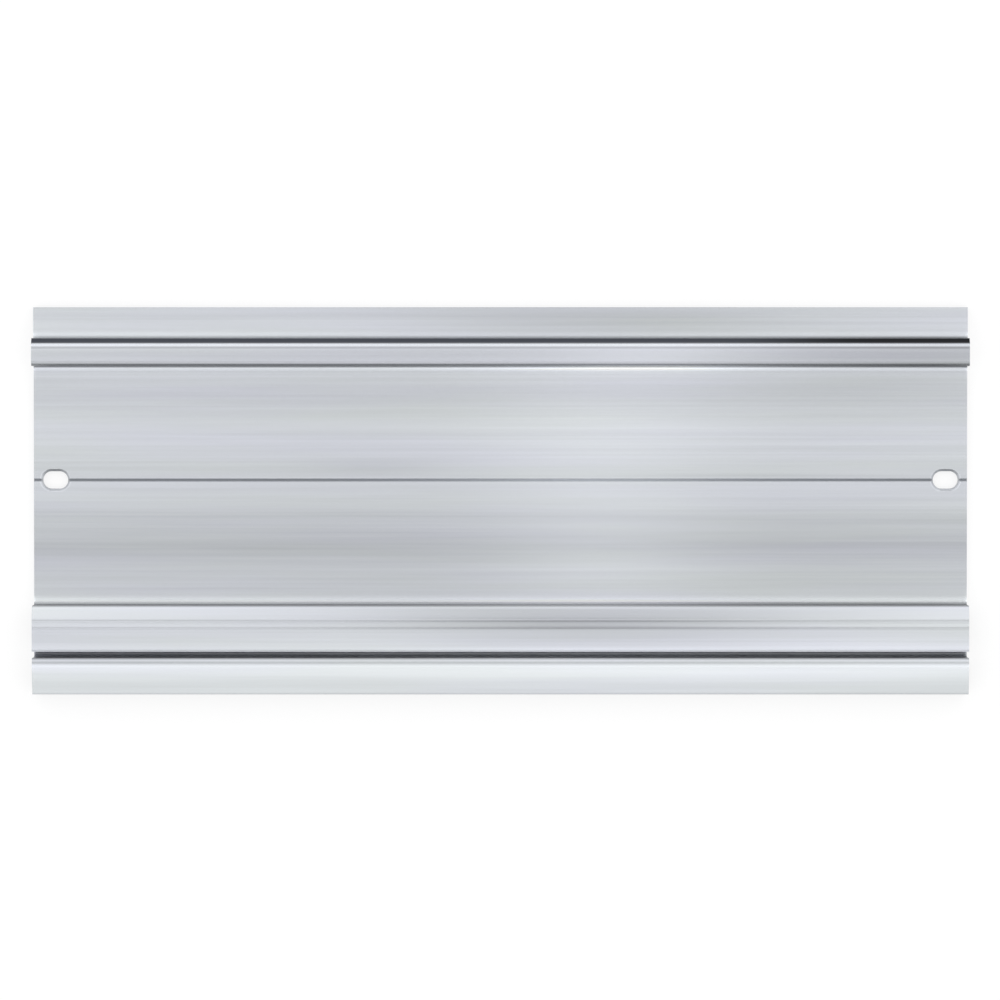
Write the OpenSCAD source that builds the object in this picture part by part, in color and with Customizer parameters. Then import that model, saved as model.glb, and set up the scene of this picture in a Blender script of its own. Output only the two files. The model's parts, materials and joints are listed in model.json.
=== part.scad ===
// Mounting rail for rack modules: one length of extruded aluminium section, lying on its back.
// X runs along the rail, Y up its height and Z out of its front. The origin is in the middle of the back.

/* [Rail] */
// Length of the piece, from saw cut to saw cut
rail_length = 295; // [150:1:600]
// Height of the section, from the bottom edge to the top edge
rail_height = 122; // [112:0.5:180]
// Depth of the section, from the back plane to the module seats
rail_depth = 12; // [11:0.1:16]
// Thickness of the flat web
web_thickness = 3; // [2:0.1:4]

/* [Top strip] */
// Thickness of the strip along the top edge
strip_thickness = 4.4; // [3.4:0.1:5.2]
// Height of the strip that stands above the hook lip
strip_height = 9.8; // [6:0.1:14]

/* [Hook lip] */
// Height of the lip, from its underside to its tip
lip_height = 8.8; // [7:0.1:12]
// Thickness of the lip, back to front
lip_thickness = 2.6; // [2.2:0.1:3.2]
// Thickness of the arm that carries the lip
lip_arm = 2.8; // [2:0.1:3.6]
// Height of the slope on the lip's tip
tip_slope_height = 1.7; // [0.8:0.1:2.6]
// Depth of the slope on the lip's tip
tip_slope_depth = 1.3; // [0.6:0.1:1.8]
// Radius of the lip's lower front edge
lip_edge_radius = 1.4; // [0.3:0.1:1.8]

/* [Drill line and fixing slots] */
// Distance of the drill line from the top edge
drill_line_drop = 54.6; // [40:0.1:70]
// Width of the drill line
drill_line_width = 1; // [0.6:0.1:2]
// Depth of the drill line
drill_line_depth = 0.5; // [0.2:0.1:1]
// Width of a fixing slot, a loose fit on its screw
slot_width = 5.5; // [4.3:0.1:7.5]
// Length of a fixing slot, over its round ends
slot_length = 8; // [6.5:0.1:14]
// Width of the sloped rim round a fixing slot
slot_rim_width = 0.8; // [0.2:0.1:1.2]
// Depth of the sloped rim round a fixing slot
slot_rim_depth = 0.6; // [0.2:0.1:1.2]
// Metal left between a fixing slot and the end of the rail
slot_land = 2.8; // [1.8:0.1:20]

/* [Lower ridge] */
// Height of the ridge, from the screw channel to its upper side
ridge_height = 14.5; // [12:0.1:20]
// Thickness of the ridge's walls
ridge_wall = 2.6; // [2:0.1:3.2]
// Height of the sloped shoulder
shoulder_height = 4; // [2:0.1:5]
// Depth that the shoulder falls back
shoulder_drop = 1.5; // [0.5:0.1:2]
// Distance of the upper guide line below the shoulder
guide_line_drop = 0.7; // [0.4:0.1:3]
// Spacing of the two guide lines
guide_line_pitch = 2.2; // [1:0.1:4]
// Width of a guide line
guide_line_width = 0.8; // [0.3:0.1:1]
// Depth of a guide line
guide_line_depth = 0.15; // [0.05:0.05:0.6]

/* [Screw channel] */
// Width between the channel's walls
channel_width = 2; // [1.6:0.1:3]
// Depth of the channel from the module seats, over its round bottom
channel_depth = 8.5; // [5:0.1:9.5]
// Radius of the upper edge of the channel's mouth
mouth_radius = 0.7; // [0.3:0.1:1.8]
// Height of the lead-in slope below the mouth
lead_in_height = 2; // [0.5:0.1:2.5]
// Depth of the lead-in slope below the mouth
lead_in_depth = 0.75; // [0.4:0.05:1.5]

/* [Bottom flange] */
// Height of the flange, from the bottom edge to the screw channel
flange_height = 11.5; // [9:0.1:16]
// Radius of the flange's front, which falls back towards the bottom edge
crown_radius = 45; // [30:1:120]
// Thickness of the flange's walls
flange_wall = 2.6; // [2:0.1:3]

/* [Edges and corners] */
// Radius of the outer edges
edge_radius = 0.3; // [0.2:0.1:0.8]
// Radius of the roots where the ribs meet the web
root_radius = 0.8; // [0.3:0.1:1.5]
// Radius inside the hollows at the back
hollow_radius = 1; // [0.4:0.1:2]

/* [Hidden] */
$fn = 64;

// Overlap of shapes that are joined, and overshoot of shapes that are cut away
weld = 0.3;

// Heights above the bottom edge
lip_top = rail_height - strip_height;
lip_bottom = lip_top - lip_height;
hook_floor = lip_bottom + lip_arm;
drill_line = rail_height - drill_line_drop;
channel_top = flange_height + channel_width;
ridge_top = channel_top + ridge_height;
shoulder_foot = ridge_top - shoulder_height;
guide_lines = [for (step = [0, 1]) shoulder_foot - guide_line_drop - step * guide_line_pitch];

// Depths in front of the back plane
lip_back = rail_depth - lip_thickness;
channel_floor = rail_depth - channel_depth;
crown_drop = crown_radius - sqrt(pow(crown_radius, 2) - pow(channel_top, 2));

// Distance between the round ends' centres of a slot, and of a slot's middle from the rail's middle
slot_reach = slot_length - slot_width;
slot_offset = (rail_length - slot_length) / 2 - slot_land;

// The section is drawn with its height along x and its depth along y, from the lower back corner.

// What a round leaves over in the corner at a point, on the side of it that the signs point to
module corner_round(point, signs, radius) {
    low = [for (side = signs) side > 0 ? -weld : -radius];
    translate(point)
        difference() {
            translate(low)
                square(radius + weld);
            translate(radius * signs)
                circle(radius);
        }
}

// Space behind the lip that a module's hook drops into, and the room above the lip's sloped tip
module hook_space() {
    difference() {
        polygon([
            [hook_floor, strip_thickness],
            [hook_floor, lip_back],
            [lip_top, lip_back],
            [lip_top, rail_depth - tip_slope_depth],
            [lip_top - tip_slope_height, rail_depth],
            [lip_top - tip_slope_height, rail_depth + weld],
            [rail_height + weld, rail_depth + weld],
            [rail_height + weld, strip_thickness],
        ]);
        corner_round([hook_floor, strip_thickness], [1, 1], root_radius);
        corner_round([hook_floor, lip_back], [1, -1], root_radius);
    }
}

// Recess for the modules' backs, between the lip and the lower ridge's sloped shoulder
module front_recess() {
    difference() {
        polygon([
            [ridge_top, web_thickness],
            [ridge_top, rail_depth - shoulder_drop],
            [shoulder_foot, rail_depth],
            [shoulder_foot, rail_depth + weld],
            [lip_bottom, rail_depth + weld],
            [lip_bottom, web_thickness],
        ]);
        corner_round([ridge_top, web_thickness], [1, 1], root_radius);
        corner_round([lip_bottom, web_thickness], [-1, 1], root_radius);
    }
}

// Groove with parallel walls, into which the module screws cut their own thread
module screw_channel() {
    bottom_radius = channel_width / 2;
    difference() {
        polygon([
            [flange_height - lead_in_height, rail_depth + weld],
            [flange_height - lead_in_height, rail_depth],
            [flange_height, rail_depth - lead_in_depth],
            [flange_height, channel_floor],
            [channel_top, channel_floor],
            [channel_top, rail_depth + weld],
        ]);
        corner_round([flange_height, channel_floor], [1, 1], bottom_radius);
        corner_round([channel_top, channel_floor], [-1, 1], bottom_radius);
    }
}

// What the flange's rounded front leaves over. The round is highest in line with the channel's upper wall
module flange_crown() {
    difference() {
        translate([-weld, rail_depth - crown_drop - weld])
            square([weld + flange_height + channel_width / 2, crown_drop + 2 * weld]);
        translate([channel_top, rail_depth - crown_radius])
            circle(crown_radius);
    }
}

// Hollow that is open to the back, behind a wall of the given thickness
module back_hollow(low, high, wall) {
    top = rail_depth - wall;
    difference() {
        translate([low, -weld])
            square([high - low, top + weld]);
        corner_round([low, top], [1, -1], hollow_radius);
        corner_round([high, top], [-1, -1], hollow_radius);
    }
}

// Fine V-shaped line along the rail, in the face at the given depth
module fine_line(height, face, width, depth) {
    polygon([
        [height - width / 2, face + weld],
        [height - width / 2, face],
        [height, face - depth],
        [height + width / 2, face],
        [height + width / 2, face + weld],
    ]);
}

module edge_rounds() {
    corner_round([rail_height, strip_thickness], [-1, -1], edge_radius);
    corner_round([rail_height, 0], [-1, 1], edge_radius);
    corner_round([lip_top, lip_back], [-1, 1], edge_radius);
    corner_round([lip_bottom, rail_depth], [1, -1], lip_edge_radius);
    corner_round([channel_top, rail_depth], [1, -1], mouth_radius);
    corner_round([0, 0], [1, 1], edge_radius);
}

module section() {
    difference() {
        square([rail_height, rail_depth]);
        hook_space();
        front_recess();
        fine_line(drill_line, web_thickness, drill_line_width, drill_line_depth);
        for (height = guide_lines)
            fine_line(height, rail_depth, guide_line_width, guide_line_depth);
        screw_channel();
        flange_crown();
        back_hollow(channel_top + ridge_wall, ridge_top - ridge_wall, ridge_wall);
        back_hollow(flange_wall, flange_height - flange_wall, flange_wall + crown_drop);
        edge_rounds();
    }
}

// Oblong hole through the web, for a fixing screw and its adjustment along the rail
module fixing_slot() {
    cut_height = web_thickness + 2 * weld;
    translate([0, 0, -weld]) {
        for (side = [-1, 1])
            translate([side * slot_reach / 2, 0, 0])
                cylinder(d = slot_width, h = cut_height);
        translate([-slot_reach / 2, -slot_width / 2, 0])
            cube([slot_reach, slot_width, cut_height]);
    }
    slot_rim();
}

// Slope round the front edge of a slot, drawn on past the web's face and into the hole
module slot_rim() {
    slope = slot_rim_width / slot_rim_depth;
    low = web_thickness - slot_rim_depth - weld;
    high = web_thickness + weld;
    low_radius = slot_width / 2 - weld * slope;
    high_radius = slot_width / 2 + slot_rim_width + weld * slope;
    for (side = [-1, 1])
        translate([side * slot_reach / 2, 0, low])
            cylinder(r1 = low_radius, r2 = high_radius, h = high - low);
    rotate([90, 0, 90])
        linear_extrude(slot_reach, center = true)
            polygon([[-low_radius, low], [low_radius, low], [high_radius, high], [-high_radius, high]]);
}

module rail() {
    color("silver")
        translate([0, -rail_height / 2, 0])
            difference() {
                rotate([90, 0, 90])
                    linear_extrude(rail_length, center = true)
                        section();
                for (end = [-1, 1])
                    translate([end * slot_offset, drill_line, 0])
                        fixing_slot();
            }
}

rail();
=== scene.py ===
import json
import math
from types import SimpleNamespace

import bpy
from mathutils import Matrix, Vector


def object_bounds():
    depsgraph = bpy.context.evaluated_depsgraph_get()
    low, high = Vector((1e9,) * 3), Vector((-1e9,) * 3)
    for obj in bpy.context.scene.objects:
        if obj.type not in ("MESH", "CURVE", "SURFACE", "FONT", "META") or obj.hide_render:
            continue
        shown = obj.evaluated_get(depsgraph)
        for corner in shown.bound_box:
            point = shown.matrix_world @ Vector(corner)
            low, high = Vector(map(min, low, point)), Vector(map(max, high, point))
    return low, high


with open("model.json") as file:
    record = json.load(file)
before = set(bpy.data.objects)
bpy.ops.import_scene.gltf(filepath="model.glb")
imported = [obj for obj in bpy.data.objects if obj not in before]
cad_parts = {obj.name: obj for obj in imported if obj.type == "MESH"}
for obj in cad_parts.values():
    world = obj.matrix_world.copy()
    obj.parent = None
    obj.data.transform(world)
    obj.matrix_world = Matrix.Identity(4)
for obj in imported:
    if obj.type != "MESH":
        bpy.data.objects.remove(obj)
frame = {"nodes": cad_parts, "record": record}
cad_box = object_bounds()

# The rail lies on its back: X runs along it, Y up its height and Z out of its front, in metres.
MM = 0.001

# Places on the rail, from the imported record's mounts and from its box
MOUNTS = {mount["name"]: Vector(mount["pos_m"]) for mount in frame["record"]["mounts"]}
BOTTOM = cad_box[0].y
FRONT = cad_box[1].z
LIP_TOP = MOUNTS["hook_lip"].y
DRILL_LINE = MOUNTS["fixing_slots"].y

# Sizes of the section that the finish follows
WEB = 3 * MM
LIP_HEIGHT = 8.8 * MM
TIP_SLOPE = 1.7 * MM

# Softening of the edges: gap closed between points, bend that counts as flat, width and steps of a round,
# smallest bend that is rounded, and how much large faces lead the shading
WELD_GAP = 0.001 * MM
FLAT_BEND = math.radians(0.5)
EDGE_WIDTH = 0.25 * MM
EDGE_STEPS = 3
EDGE_BEND = math.radians(32)
FACE_WEIGHT = 100

# Ways a face looks, as shares of its normal: where the front side, a wall or a sawn end starts and is full
FRONT_SIDE = (-0.3, -0.1)
WALL = (0.75, 0.45)
SAWN_END = (0.8, 0.95)

# Depth behind the foremost plane at which the skin of the front starts and is full
FRONT_SKIN = (2 * MM, 1 * MM)

# Colours of the metal
BRIGHT = (0.634, 0.663, 0.678, 1)
BRIGHT_BLUE = (0.635, 0.653, 0.71, 1)
DULL = (0.552, 0.565, 0.586, 1)
SAWN = (0.569, 0.579, 0.595)
# Grey of the painted shade on the lip's lower edge and in the fine lines of the front
SHADE_GREY = (0.224, 0.233, 0.246, 1)
# Greys of the painted dark reflection on the lip's tip
TIP_REFLECTION_GREY = (0.073, 0.079, 0.095, 1)
TIP_REFLECTION_BLACK = (0.026, 0.027, 0.03, 1)

# Share of the bluer metal, and its smears: length, width, seed and strength
HUE_LEVEL = 0.55
HUE_SMEARS = (110 * MM, 8 * MM, 21.9, 2.5)

# Heights at which the metal is bluer or less blue: height above the bottom edge, reach up and down, change
HUE_BANDS = (
    (107.5 * MM, 3.5 * MM, 0.3),
    (4 * MM, 5 * MM, -0.55),
)

# Streaks of the drawn surface: length, width, seed and strength. The last and finest also stands in relief.
STREAKS = (
    (420 * MM, 7 * MM, 3.1, 0.15),
    (380 * MM, 2.2 * MM, 7.7, 0.09),
    (70 * MM, 1.7 * MM, 14.9, 0.11),
    (420 * MM, 0.5 * MM, 11.3, 0.06),
)

# Broad painted reflections, lighter and darker, that run the whole length: height above the bottom edge,
# reach up and down, share of change
REFLECTION_BANDS = (
    (115.5 * MM, 2.5 * MM, 0.09),
    (107.5 * MM, 4.5 * MM, -0.04),
    (101.3 * MM, 1.5 * MM, 0.06),
    (94 * MM, 4 * MM, -0.09),
    (80 * MM, 7 * MM, 0.03),
    (71 * MM, 3 * MM, -0.05),
    (55.5 * MM, 3 * MM, -0.12),
    (46.3 * MM, 6 * MM, -0.22),
    (36.5 * MM, 4.3 * MM, -0.12),
    (29.2 * MM, 1.15 * MM, 0.48),
    (14.8 * MM, 1.3 * MM, 0.16),
    (8.8 * MM, 1.6 * MM, 0.16),
    (3 * MM, 3.2 * MM, -0.13),
)

# Narrow painted highlights and painted shade along edges, corners and grooves, in the same terms
EDGE_HIGHLIGHTS_AND_SHADE = (
    # Tip of the hook lip, and the top strip beside it
    (113.3 * MM, 0.9 * MM, 0.32),
    (112.45 * MM, 0.3 * MM, -0.32),
    (110.6 * MM, 0.18 * MM, -0.22),
    (110 * MM, 0.35 * MM, 0.42),
    (109.15 * MM, 0.25 * MM, -0.2),
    (108.5 * MM, 0.6 * MM, 0.05),
    # Lower edge of the lip, and the corner under it
    (104.5 * MM, 0.35 * MM, -0.26),
    (103.92 * MM, 0.17 * MM, 0.3),
    (102.3 * MM, 0.4 * MM, 0.3),
    # Root and upper edge of the ridge
    (29.05 * MM, 0.2 * MM, 0.12),
    (28.65 * MM, 0.2 * MM, -0.42),
    (28.2 * MM, 0.55 * MM, -0.56),
    (27.85 * MM, 0.25 * MM, -0.25),
    # Strip between the ridge's guide lines
    (22.2 * MM, 1.2 * MM, 0.07),
    # Mouth, inside and lead-in of the screw channel
    (14 * MM, 0.35 * MM, -0.14),
    (12.98 * MM, 0.15 * MM, 0.4),
    (12.45 * MM, 0.5 * MM, -0.48),
    (11.52 * MM, 0.06 * MM, 0.42),
    (11.4 * MM, 0.4 * MM, -0.55),
    (10.1 * MM, 0.5 * MM, -0.24),
    (9.2 * MM, 0.6 * MM, 0.16),
    # Bottom edge of the flange
    (0.25 * MM, 0.3 * MM, -0.15),
)

# Soft patches of painted reflection and shade: place along the rail, height above the bottom edge, reach
# along, reach up and down, change
REFLECTION_PATCHES = (
    # Top strip
    (34 * MM, 117 * MM, 60 * MM, 6 * MM, -0.17),
    (-44 * MM, 117 * MM, 30 * MM, 3 * MM, 0.05),
    # Hook lip
    (135 * MM, 112.45 * MM, 40 * MM, 0.35 * MM, -0.25),
    (130 * MM, 110.7 * MM, 35 * MM, 0.3 * MM, -0.25),
    (140 * MM, 109.3 * MM, 45 * MM, 0.7 * MM, -0.12),
    (48 * MM, 107.5 * MM, 32 * MM, 4 * MM, 0.14),
    (140 * MM, 107 * MM, 60 * MM, 4 * MM, -0.17),
    (38 * MM, 104.4 * MM, 45 * MM, 0.3 * MM, -0.2),
    # Corner under the lip
    (52 * MM, 103.5 * MM, 26 * MM, 0.3 * MM, 0.65),
    (140 * MM, 103.4 * MM, 40 * MM, 0.8 * MM, -0.25),
    (38 * MM, 103.1 * MM, 45 * MM, 1 * MM, 0.4),
    (140 * MM, 102.4 * MM, 35 * MM, 0.4 * MM, 0.16),
    # Web
    (115 * MM, 97 * MM, 45 * MM, 5 * MM, -0.06),
    (32 * MM, 78 * MM, 42 * MM, 30 * MM, 0.16),
    (-40 * MM, 72 * MM, 25 * MM, 2.5 * MM, -0.06),
    (120 * MM, 71 * MM, 35 * MM, 3 * MM, 0.05),
    (32 * MM, 42 * MM, 36 * MM, 16 * MM, 0.14),
    # Drill line and the web beside it
    (85 * MM, 68.7 * MM, 40 * MM, 0.6 * MM, -0.1),
    (28 * MM, 67.4 * MM, 55 * MM, 0.35 * MM, 0.5),
    (-90 * MM, 66.95 * MM, 60 * MM, 0.2 * MM, -0.2),
    (110 * MM, 65.3 * MM, 50 * MM, 1.4 * MM, 0.06),
    # Ridge
    (20 * MM, 28.7 * MM, 35 * MM, 0.25 * MM, 0.2),
    (110 * MM, 28.4 * MM, 50 * MM, 0.3 * MM, -0.2),
    (20 * MM, 27.6 * MM, 50 * MM, 0.5 * MM, 0.28),
    (-120 * MM, 25.5 * MM, 60 * MM, 2 * MM, -0.07),
    (25 * MM, 23.2 * MM, 56 * MM, 0.9 * MM, -0.33),
    (25 * MM, 21.5 * MM, 56 * MM, 0.9 * MM, -0.33),
    (-100 * MM, 19 * MM, 70 * MM, 2 * MM, 0.07),
    (35 * MM, 19 * MM, 40 * MM, 2.5 * MM, -0.06),
    (-40 * MM, 17.5 * MM, 35 * MM, 3 * MM, 0.07),
    (115 * MM, 17 * MM, 60 * MM, 4 * MM, 0.1),
    (20 * MM, 14.2 * MM, 55 * MM, 0.5 * MM, 0.14),
    # Screw channel and bottom flange
    (-125 * MM, 12.3 * MM, 60 * MM, 0.5 * MM, -0.15),
    (20 * MM, 11.1 * MM, 55 * MM, 0.6 * MM, 0.38),
    (-130 * MM, 10.5 * MM, 50 * MM, 0.8 * MM, -0.14),
    (35 * MM, 7 * MM, 95 * MM, 3 * MM, 0.09),
)

# Fine lines cut along the front, with painted shade in them: place up the rail, reach up and down, strength
FINE_LINES = (
    (DRILL_LINE, 0.4 * MM, 0.7),
    (BOTTOM + 23.3 * MM, 0.4 * MM, 0.38),
    (BOTTOM + 21.1 * MM, 0.4 * MM, 0.45),
)

# Painted shade on the lip's lower edge: from and to, above the lip's underside, softness and strength
LIP_SHADE = (-0.75 * MM, 0.7 * MM, 0.3 * MM, 0.6)

# Painted dark reflection on the slope of the lip's tip: where it starts and is full below the tip, its
# softness at the tip, the normals between which it comes in, and the stretch along the rail in which it turns
# to black
TIP_DEPTH = (1.3 * TIP_SLOPE, 0.66 * TIP_SLOPE)
TIP_SOFT = 0.1 * MM
TIP_FACING = (0.93, 0.85)
TIP_CHANGE = (70 * MM, 115 * MM)

# Rubbed edge of the channel's mouth, and a painted highlight along it: height above the bottom edge, reach up
# and down, added roughness or painted highlight
MOUTH_WEAR = (13.75 * MM, 0.35 * MM, 0.3)
MOUTH_HIGHLIGHT = (13.55 * MM, 0.22 * MM, 0.6)

# Marks of the saw on the ends: sizes along the three axes, seed, strength, and lean up the rail with depth
SAW_SIZES = (1.0, 0.3 * MM, 30 * MM)
SAW_SEED = 17.3
SAW_STRENGTH = 0.3
SAW_LEAN = 0.35

# Roughness of the drawn faces and of the walls, and how far the finest streaks change it
ROUGH_DRAWN = 0.22
ROUGH_WALL = 0.36
ROUGH_STREAKS = 0.06

# Relief of the finest streaks and the saw marks: strength and depth
RELIEF_STRENGTH = 0.1
RELIEF_DEPTH = 0.05 * MM

# How far highlights stretch across the streaks, and a nudge that gives the sawn ends a direction too
STRETCH = 0.9
STRETCH_NUDGE = (0.0, 0.001, 0.0)

# Noise: how a seed moves it along the three axes, how many finer layers it has, how strong they are, its mean
SEED_SHIFT = (1.0, 1.7, 2.3)
NOISE_LAYERS = 2.0
NOISE_GAIN = 0.5
NOISE_MEAN = 0.5

# Sockets of a colour mix, which share their names with its other sockets: two colours in, one out
MIX_FIRST = 6
MIX_SECOND = 7
MIX_RESULT = 2

# Camera: it looks down on the front, tilted a little as it stands a little above the rail's middle
CAMERA_DISTANCE = 1.6
CAMERA_TILT = math.radians(1.5)
CAMERA_REACH = 100
SENSOR_WIDTH = 36
IMAGE_WIDTH = 1000
PIXELS_PER_MM = 3.163
FRAME_WIDTH = IMAGE_WIDTH / PIXELS_PER_MM * MM
AIM = Vector((-0.15 * MM, 0.08 * MM, WEB))

# Soft light from the sky: its level, its share at the horizon, and its changes with height: from, to, change
SKY_LEVEL = 1.16
HORIZON_SHARE = 0.6
SKY_CHANGES = (
    (0.05, 0.65, 0.45),
    (0.65, 0.9, 0.17),
    (0.961, 0.9945, -0.56),
)

# Narrow gap in the light past the rail's top edge: middle and reach along the rail, then from, to and
# softness up the rail, and the share of light that it takes
GAP_ALONG = (0.0165, 0.037)
GAP_UP = (0.3, 0.75, 0.15)
GAP_SHARE = 0.8

# Dimmer side past the rail's bottom edge: where it starts and is full down the rail and along it, its share
SIDE_DOWN = (-0.45, -0.9)
SIDE_ALONG = (0.45, 0.25)
SIDE_SHARE = 0.4

# Flag low on the same side: angles at which it starts and is full, round from straight down the rail and
# above the horizon, its share, and the smallest level length that a direction is divided by
FLAG_ROUND = (math.radians(65), math.radians(40))
FLAG_ABOVE = (math.radians(40), math.radians(30))
FLAG_SHARE = 0.42
LEAST_LENGTH = 0.001

# Floor: its own colour, the glow where it is seen, its size and its gap below the rail
FLOOR_COLOUR = 0.26
FLOOR_GLOW = 0.74
FLOOR_SIZE = 8
FLOOR_GAP = 0.05 * MM

# Colour of the light from the sky and of the floor's glow
WHITE = (1, 1, 1, 1)


def add_node(tree, kind, inputs=None, **settings):
    """A new node with its settings, and each input set to a value or linked to a socket."""
    node = tree.nodes.new(kind)
    for name, value in settings.items():
        setattr(node, name, value)
    for key, value in (inputs or {}).items():
        if isinstance(value, bpy.types.NodeSocket):
            tree.links.new(value, node.inputs[key])
        else:
            node.inputs[key].default_value = value
    return node


def calc(tree, operation, *values, clamp=False):
    """The result of a sum, product or the like."""
    node = add_node(tree, "ShaderNodeMath", dict(enumerate(values)), operation=operation, use_clamp=clamp)
    return node.outputs[0]


def product(tree, first, *others):
    """Several values multiplied together."""
    result = first
    for value in others:
        result = calc(tree, "MULTIPLY", result, value)
    return result


def vector_calc(tree, operation, *values, scale=None):
    """The result of vector arithmetic."""
    inputs = dict(enumerate(values))
    if scale is not None:
        inputs["Scale"] = scale
    return add_node(tree, "ShaderNodeVectorMath", inputs, operation=operation).outputs[0]


def ramp(tree, value, start, end, low=0.0, high=1.0):
    """A smooth change from low to high as the value goes from start to end."""
    node = add_node(
        tree,
        "ShaderNodeMapRange",
        {"Value": value, "From Min": start, "From Max": end, "To Min": low, "To Max": high},
        interpolation_type="SMOOTHSTEP",
    )
    return node.outputs["Result"]


def band(tree, value, low, high, soft):
    """One where the value is between low and high, and nought outside, over a soft edge."""
    rise = ramp(tree, value, low - soft, low + soft)
    fall = ramp(tree, value, high - soft, high + soft, 1.0, 0.0)
    return calc(tree, "MULTIPLY", rise, fall)


def bell(tree, *places):
    """A bell curve, down to about a third at its reach. A place is a value with its middle and reach."""
    square = 0.0
    for value, middle, reach in places:
        offset = calc(tree, "MULTIPLY_ADD", value, 1 / reach, -middle / reach)
        square = calc(tree, "MULTIPLY_ADD", offset, offset, square)
    return calc(tree, "POWER", 1 / math.e, square)


def blend(tree, factor, first, second):
    """A colour between two others."""
    inputs = {"Factor": factor, MIX_FIRST: first, MIX_SECOND: second}
    mix = add_node(tree, "ShaderNodeMix", inputs, data_type="RGBA", clamp_factor=True)
    return mix.outputs[MIX_RESULT]


def noise(tree, place, sizes, seed):
    """Noise of the given sizes along the three axes, round nought."""
    scaled = vector_calc(tree, "DIVIDE", place, sizes)
    moved = vector_calc(tree, "ADD", scaled, [seed * share for share in SEED_SHIFT])
    texture = add_node(
        tree,
        "ShaderNodeTexNoise",
        {"Vector": moved, "Scale": 1.0, "Detail": NOISE_LAYERS, "Roughness": NOISE_GAIN},
        noise_dimensions="3D",
    )
    return calc(tree, "SUBTRACT", texture.outputs[0], NOISE_MEAN)


def streak(tree, surface, length, width, seed):
    """Noise that is drawn out along the rail."""
    return noise(tree, surface.place, (length, width, width), seed)


def new_material(name):
    """An empty node material and its tree."""
    material = bpy.data.materials.new(name)
    material.use_nodes = True
    material.node_tree.nodes.clear()
    return material, material.node_tree


def read_surface(tree):
    """Where a point of the rail is and which way it faces, and the masks that follow from that."""
    place = add_node(tree, "ShaderNodeTexCoord").outputs["Object"]
    x, y, z = add_node(tree, "ShaderNodeSeparateXYZ", {0: place}).outputs
    normal = add_node(tree, "ShaderNodeNewGeometry").outputs["Normal"]
    normal_x, _, normal_z = add_node(tree, "ShaderNodeSeparateXYZ", {0: normal}).outputs
    skin_start, skin_full = (FRONT - depth for depth in FRONT_SKIN)
    return SimpleNamespace(
        place=place,
        x=x,
        y=y,
        z=z,
        height=calc(tree, "SUBTRACT", y, BOTTOM),
        normal=normal,
        normal_z=normal_z,
        front_side=ramp(tree, normal_z, *FRONT_SIDE),
        front_skin=ramp(tree, z, skin_start, skin_full),
        wall=ramp(tree, calc(tree, "ABSOLUTE", normal_z), *WALL),
        sawn=ramp(tree, calc(tree, "ABSOLUTE", normal_x), *SAWN_END),
    )


def clean_colour(tree, surface):
    """The colour of clean metal: smears of a bluer and a plainer one, and duller walls."""
    *smear, strength = HUE_SMEARS
    hue = calc(tree, "MULTIPLY_ADD", streak(tree, surface, *smear), strength, HUE_LEVEL)
    for middle, reach, change in HUE_BANDS:
        hue = calc(tree, "MULTIPLY_ADD", bell(tree, (surface.height, middle, reach)), change, hue)
    colour = blend(tree, hue, BRIGHT, BRIGHT_BLUE)
    return blend(tree, surface.wall, colour, DULL)


def with_painted_shade(tree, surface, colour):
    """The colour with painted shade on the lip's lower edge and in the fine lines of the front."""
    # Painted shade on the lip's lower edge
    low, high, soft, strength = LIP_SHADE
    lip_bottom = LIP_TOP - LIP_HEIGHT
    lip_shade_mask = band(tree, surface.y, lip_bottom + low, lip_bottom + high, soft)
    colour = blend(tree, product(tree, lip_shade_mask, surface.front_skin, strength), colour, SHADE_GREY)
    # Painted shade in the fine lines of the front
    for line, reach, strength in FINE_LINES:
        groove = bell(tree, (surface.y, line, reach))
        colour = blend(tree, product(tree, groove, strength, surface.front_side), colour, SHADE_GREY)
    return colour


def with_painted_tip_reflection(tree, surface, colour):
    """The colour with a painted dark reflection on the slope of the lip's tip."""
    start, full = (LIP_TOP - depth for depth in TIP_DEPTH)
    tip = product(
        tree,
        ramp(tree, surface.y, start, full),
        ramp(tree, surface.y, LIP_TOP - TIP_SOFT, LIP_TOP + TIP_SOFT, 1.0, 0.0),
        ramp(tree, surface.normal_z, *TIP_FACING),
        surface.front_skin,
    )
    # Painted dark reflection, grey along one part of the rail and black along the other
    tip_colour = blend(tree, ramp(tree, surface.x, *TIP_CHANGE), TIP_REFLECTION_GREY, TIP_REFLECTION_BLACK)
    return blend(tree, tip, colour, tip_colour)


def at_mouth(tree, surface, middle, reach):
    """A mask along the edge of the channel's mouth, which leaves the sawn ends out."""
    drawn = calc(tree, "SUBTRACT", 1.0, surface.sawn)
    return product(tree, bell(tree, (surface.height, middle, reach)), surface.front_skin, drawn)


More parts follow.
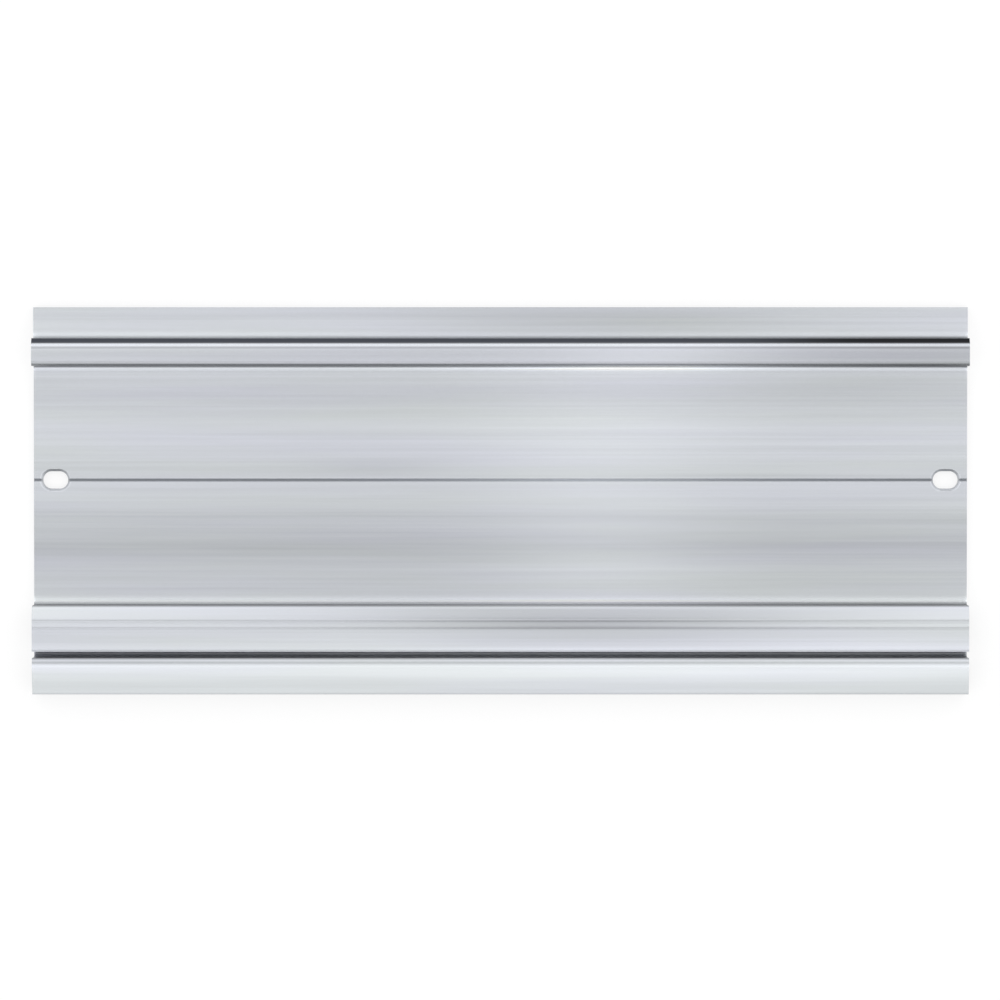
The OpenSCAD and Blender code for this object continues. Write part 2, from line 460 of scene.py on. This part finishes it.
def tone_with_painted_light(tree, surface):
    """The share of full brightness: streaks all round, the painted reflections, highlights and shade of the
    front, and a painted highlight on the channel's mouth.
    """
    # Painted reflections, highlights and shade of the front, summed into marks
    marks = 0.0
    for middle, reach, change in REFLECTION_BANDS + EDGE_HIGHLIGHTS_AND_SHADE:
        line = bell(tree, (surface.height, middle, reach))
        marks = calc(tree, "MULTIPLY_ADD", line, change, marks)
    for along, middle, reach_along, reach, change in REFLECTION_PATCHES:
        patch = bell(tree, (surface.x, along, reach_along), (surface.height, middle, reach))
        marks = calc(tree, "MULTIPLY_ADD", patch, change, marks)
    tone = calc(tree, "MULTIPLY_ADD", marks, surface.front_side, 1.0)
    for *sizes_and_seed, strength in STREAKS:
        tone = calc(tree, "MULTIPLY_ADD", streak(tree, surface, *sizes_and_seed), strength, tone)
    # Painted highlight along the channel's mouth
    *edge, highlight_gain = MOUTH_HIGHLIGHT
    return calc(tree, "MULTIPLY_ADD", at_mouth(tree, surface, *edge), highlight_gain, tone)


def saw_marks(tree, surface):
    """Noise in the leaning lines that the saw leaves on the ends."""
    leaning = calc(tree, "MULTIPLY_ADD", surface.z, SAW_LEAN, surface.y)
    place = add_node(tree, "ShaderNodeCombineXYZ", {0: surface.x, 1: leaning, 2: surface.z})
    return noise(tree, place.outputs[0], SAW_SIZES, SAW_SEED)


def metal_colour(tree, surface, marks):
    """The colour of the drawn faces, and of the ends with the saw's marks."""
    drawn = with_painted_shade(tree, surface, clean_colour(tree, surface))
    drawn = with_painted_tip_reflection(tree, surface, drawn)
    drawn = vector_calc(tree, "SCALE", drawn, scale=tone_with_painted_light(tree, surface))
    cut = vector_calc(tree, "SCALE", SAWN, scale=calc(tree, "MULTIPLY_ADD", marks, SAW_STRENGTH, 1.0))
    return blend(tree, surface.sawn, drawn, cut)


def metal_roughness(tree, surface, fine):
    """Smooth faces and rougher walls, with fine streaks, and wear on the channel's mouth."""
    rough = calc(tree, "MULTIPLY_ADD", surface.wall, ROUGH_WALL - ROUGH_DRAWN, ROUGH_DRAWN)
    rough = calc(tree, "MULTIPLY_ADD", fine, ROUGH_STREAKS, rough)
    *edge, wear = MOUTH_WEAR
    return calc(tree, "MULTIPLY_ADD", at_mouth(tree, surface, *edge), wear, rough)


def metal_relief(tree, surface, fine, marks):
    """The bump of the fine streaks, and of the saw's marks on the ends."""
    heights = {"Factor": surface.sawn, "A": fine, "B": marks}
    height = add_node(tree, "ShaderNodeMix", heights, data_type="FLOAT").outputs[0]
    bump = add_node(
        tree,
        "ShaderNodeBump",
        {"Strength": RELIEF_STRENGTH, "Distance": RELIEF_DEPTH, "Height": height},
    )
    return bump.outputs[0]


def aluminium():
    """Extruded aluminium, with streaks along the drawn faces and saw marks on the two ends."""
    material, tree = new_material("drawn_aluminium")
    surface = read_surface(tree)
    marks = saw_marks(tree, surface)
    *finest, _ = STREAKS[-1]
    fine = streak(tree, surface, *finest)
    across = vector_calc(tree, "CROSS_PRODUCT", surface.normal, (1.0, 0.0, 0.0))
    shader = add_node(
        tree,
        "ShaderNodeBsdfPrincipled",
        {
            "Base Color": metal_colour(tree, surface, marks),
            "Metallic": 1.0,
            "Roughness": metal_roughness(tree, surface, fine),
            "Anisotropic": STRETCH,
            "Tangent": vector_calc(tree, "ADD", across, STRETCH_NUDGE),
            "Normal": metal_relief(tree, surface, fine, marks),
        },
    )
    add_node(tree, "ShaderNodeOutputMaterial", {"Surface": shader.outputs[0]})
    return material


def soften_edges(rail):
    """Small rounds on the sharp edges, which catch the light, and even shading on the flat faces."""
    weld = rail.modifiers.new("weld", "WELD")
    weld.merge_threshold = WELD_GAP
    flat = rail.modifiers.new("flat_faces", "DECIMATE")
    flat.decimate_type = "DISSOLVE"
    flat.angle_limit = FLAT_BEND
    bevel = rail.modifiers.new("soft_edges", "BEVEL")
    bevel.width = EDGE_WIDTH
    bevel.segments = EDGE_STEPS
    bevel.limit_method = "ANGLE"
    bevel.angle_limit = EDGE_BEND
    shading = rail.modifiers.new("even_shading", "WEIGHTED_NORMAL")
    shading.weight = FACE_WEIGHT


def floor_material():
    """A pale floor that keeps the shadow, and glows where it is seen directly or in a reflection."""
    material, tree = new_material("studio_floor")
    path = add_node(tree, "ShaderNodeLightPath").outputs
    seen = calc(tree, "MAXIMUM", path["Is Camera Ray"], path["Is Glossy Ray"])
    seen = calc(tree, "MAXIMUM", seen, path["Is Transmission Ray"])
    grey = (FLOOR_COLOUR, FLOOR_COLOUR, FLOOR_COLOUR, 1)
    diffuse = add_node(tree, "ShaderNodeBsdfDiffuse", {"Color": grey})
    strength = calc(tree, "MULTIPLY", seen, FLOOR_GLOW)
    glow = add_node(tree, "ShaderNodeEmission", {"Color": WHITE, "Strength": strength})
    both = add_node(tree, "ShaderNodeAddShader", {0: diffuse.outputs[0], 1: glow.outputs[0]})
    add_node(tree, "ShaderNodeOutputMaterial", {"Surface": both.outputs[0]})
    return material


def make_floor():
    """A large level floor under the rail."""
    half = FLOOR_SIZE / 2
    corners = ((-half, -half), (half, -half), (half, half), (-half, half))
    mesh = bpy.data.meshes.new("floor")
    mesh.from_pydata([(x, y, -FLOOR_GAP) for x, y in corners], [], [(0, 1, 2, 3)])
    floor = bpy.data.objects.new("floor", mesh)
    floor.data.materials.append(floor_material())
    bpy.context.scene.collection.objects.link(floor)


def dimmed(tree, sky, mask, share):
    """The sky's light with a share of it taken away where the mask is."""
    return calc(tree, "MULTIPLY", sky, calc(tree, "MULTIPLY_ADD", mask, -share, 1.0))


def flag_mask(tree, y, z):
    """Where the flag stands: a stretch of the sky low on the side of the bottom flange."""
    level_square = calc(tree, "MULTIPLY_ADD", calc(tree, "MULTIPLY", z, z), -1.0, 1.0, clamp=True)
    level_length = calc(tree, "MAXIMUM", calc(tree, "SQRT", level_square), LEAST_LENGTH)
    down_rail = calc(tree, "DIVIDE", calc(tree, "MULTIPLY", y, -1.0), level_length)
    across = ramp(tree, down_rail, *(math.cos(angle) for angle in FLAG_ROUND))
    above = ramp(tree, z, *(math.sin(angle) for angle in FLAG_ABOVE))
    return calc(tree, "MULTIPLY", across, above)


def make_world():
    """Soft light from all over the sky, with a darker zenith, a gap, a dimmer side and a flag."""
    world = bpy.data.worlds.new("studio")
    world.use_nodes = True
    tree = world.node_tree
    tree.nodes.clear()
    direction = add_node(tree, "ShaderNodeTexCoord").outputs["Generated"]
    x, y, z = add_node(tree, "ShaderNodeSeparateXYZ", {0: direction}).outputs
    sky = HORIZON_SHARE
    for start, end, change in SKY_CHANGES:
        sky = calc(tree, "ADD", sky, ramp(tree, z, start, end, 0.0, change))
    gap = calc(tree, "MULTIPLY", bell(tree, (x, *GAP_ALONG)), band(tree, y, *GAP_UP))
    sky = dimmed(tree, sky, gap, GAP_SHARE)
    along = ramp(tree, calc(tree, "ABSOLUTE", x), *SIDE_ALONG)
    side = calc(tree, "MULTIPLY", ramp(tree, y, *SIDE_DOWN), along)
    sky = dimmed(tree, sky, side, SIDE_SHARE)
    sky = dimmed(tree, sky, flag_mask(tree, y, z), FLAG_SHARE)
    level = calc(tree, "MULTIPLY", sky, SKY_LEVEL)
    background = add_node(tree, "ShaderNodeBackground", {"Color": WHITE, "Strength": level})
    add_node(tree, "ShaderNodeOutputWorld", {"Surface": background.outputs[0]})
    bpy.context.scene.world = world


def make_camera():
    """A long lens above the rail, with the rail's top upwards."""
    data = bpy.data.cameras.new("camera")
    data.sensor_width = SENSOR_WIDTH
    data.lens = SENSOR_WIDTH * CAMERA_DISTANCE / FRAME_WIDTH
    data.clip_end = CAMERA_REACH
    camera = bpy.data.objects.new("camera", data)
    camera.location = AIM + CAMERA_DISTANCE * Vector((0, math.sin(CAMERA_TILT), math.cos(CAMERA_TILT)))
    camera.rotation_euler = (-CAMERA_TILT, 0, 0)
    bpy.context.scene.collection.objects.link(camera)
    bpy.context.scene.camera = camera


def main():
    bpy.context.scene.view_settings.view_transform = "Standard"
    rail = frame["nodes"]["rail"]
    rail.data.materials.clear()
    rail.data.materials.append(aluminium())
    soften_edges(rail)
    make_floor()
    make_world()
    make_camera()


main()
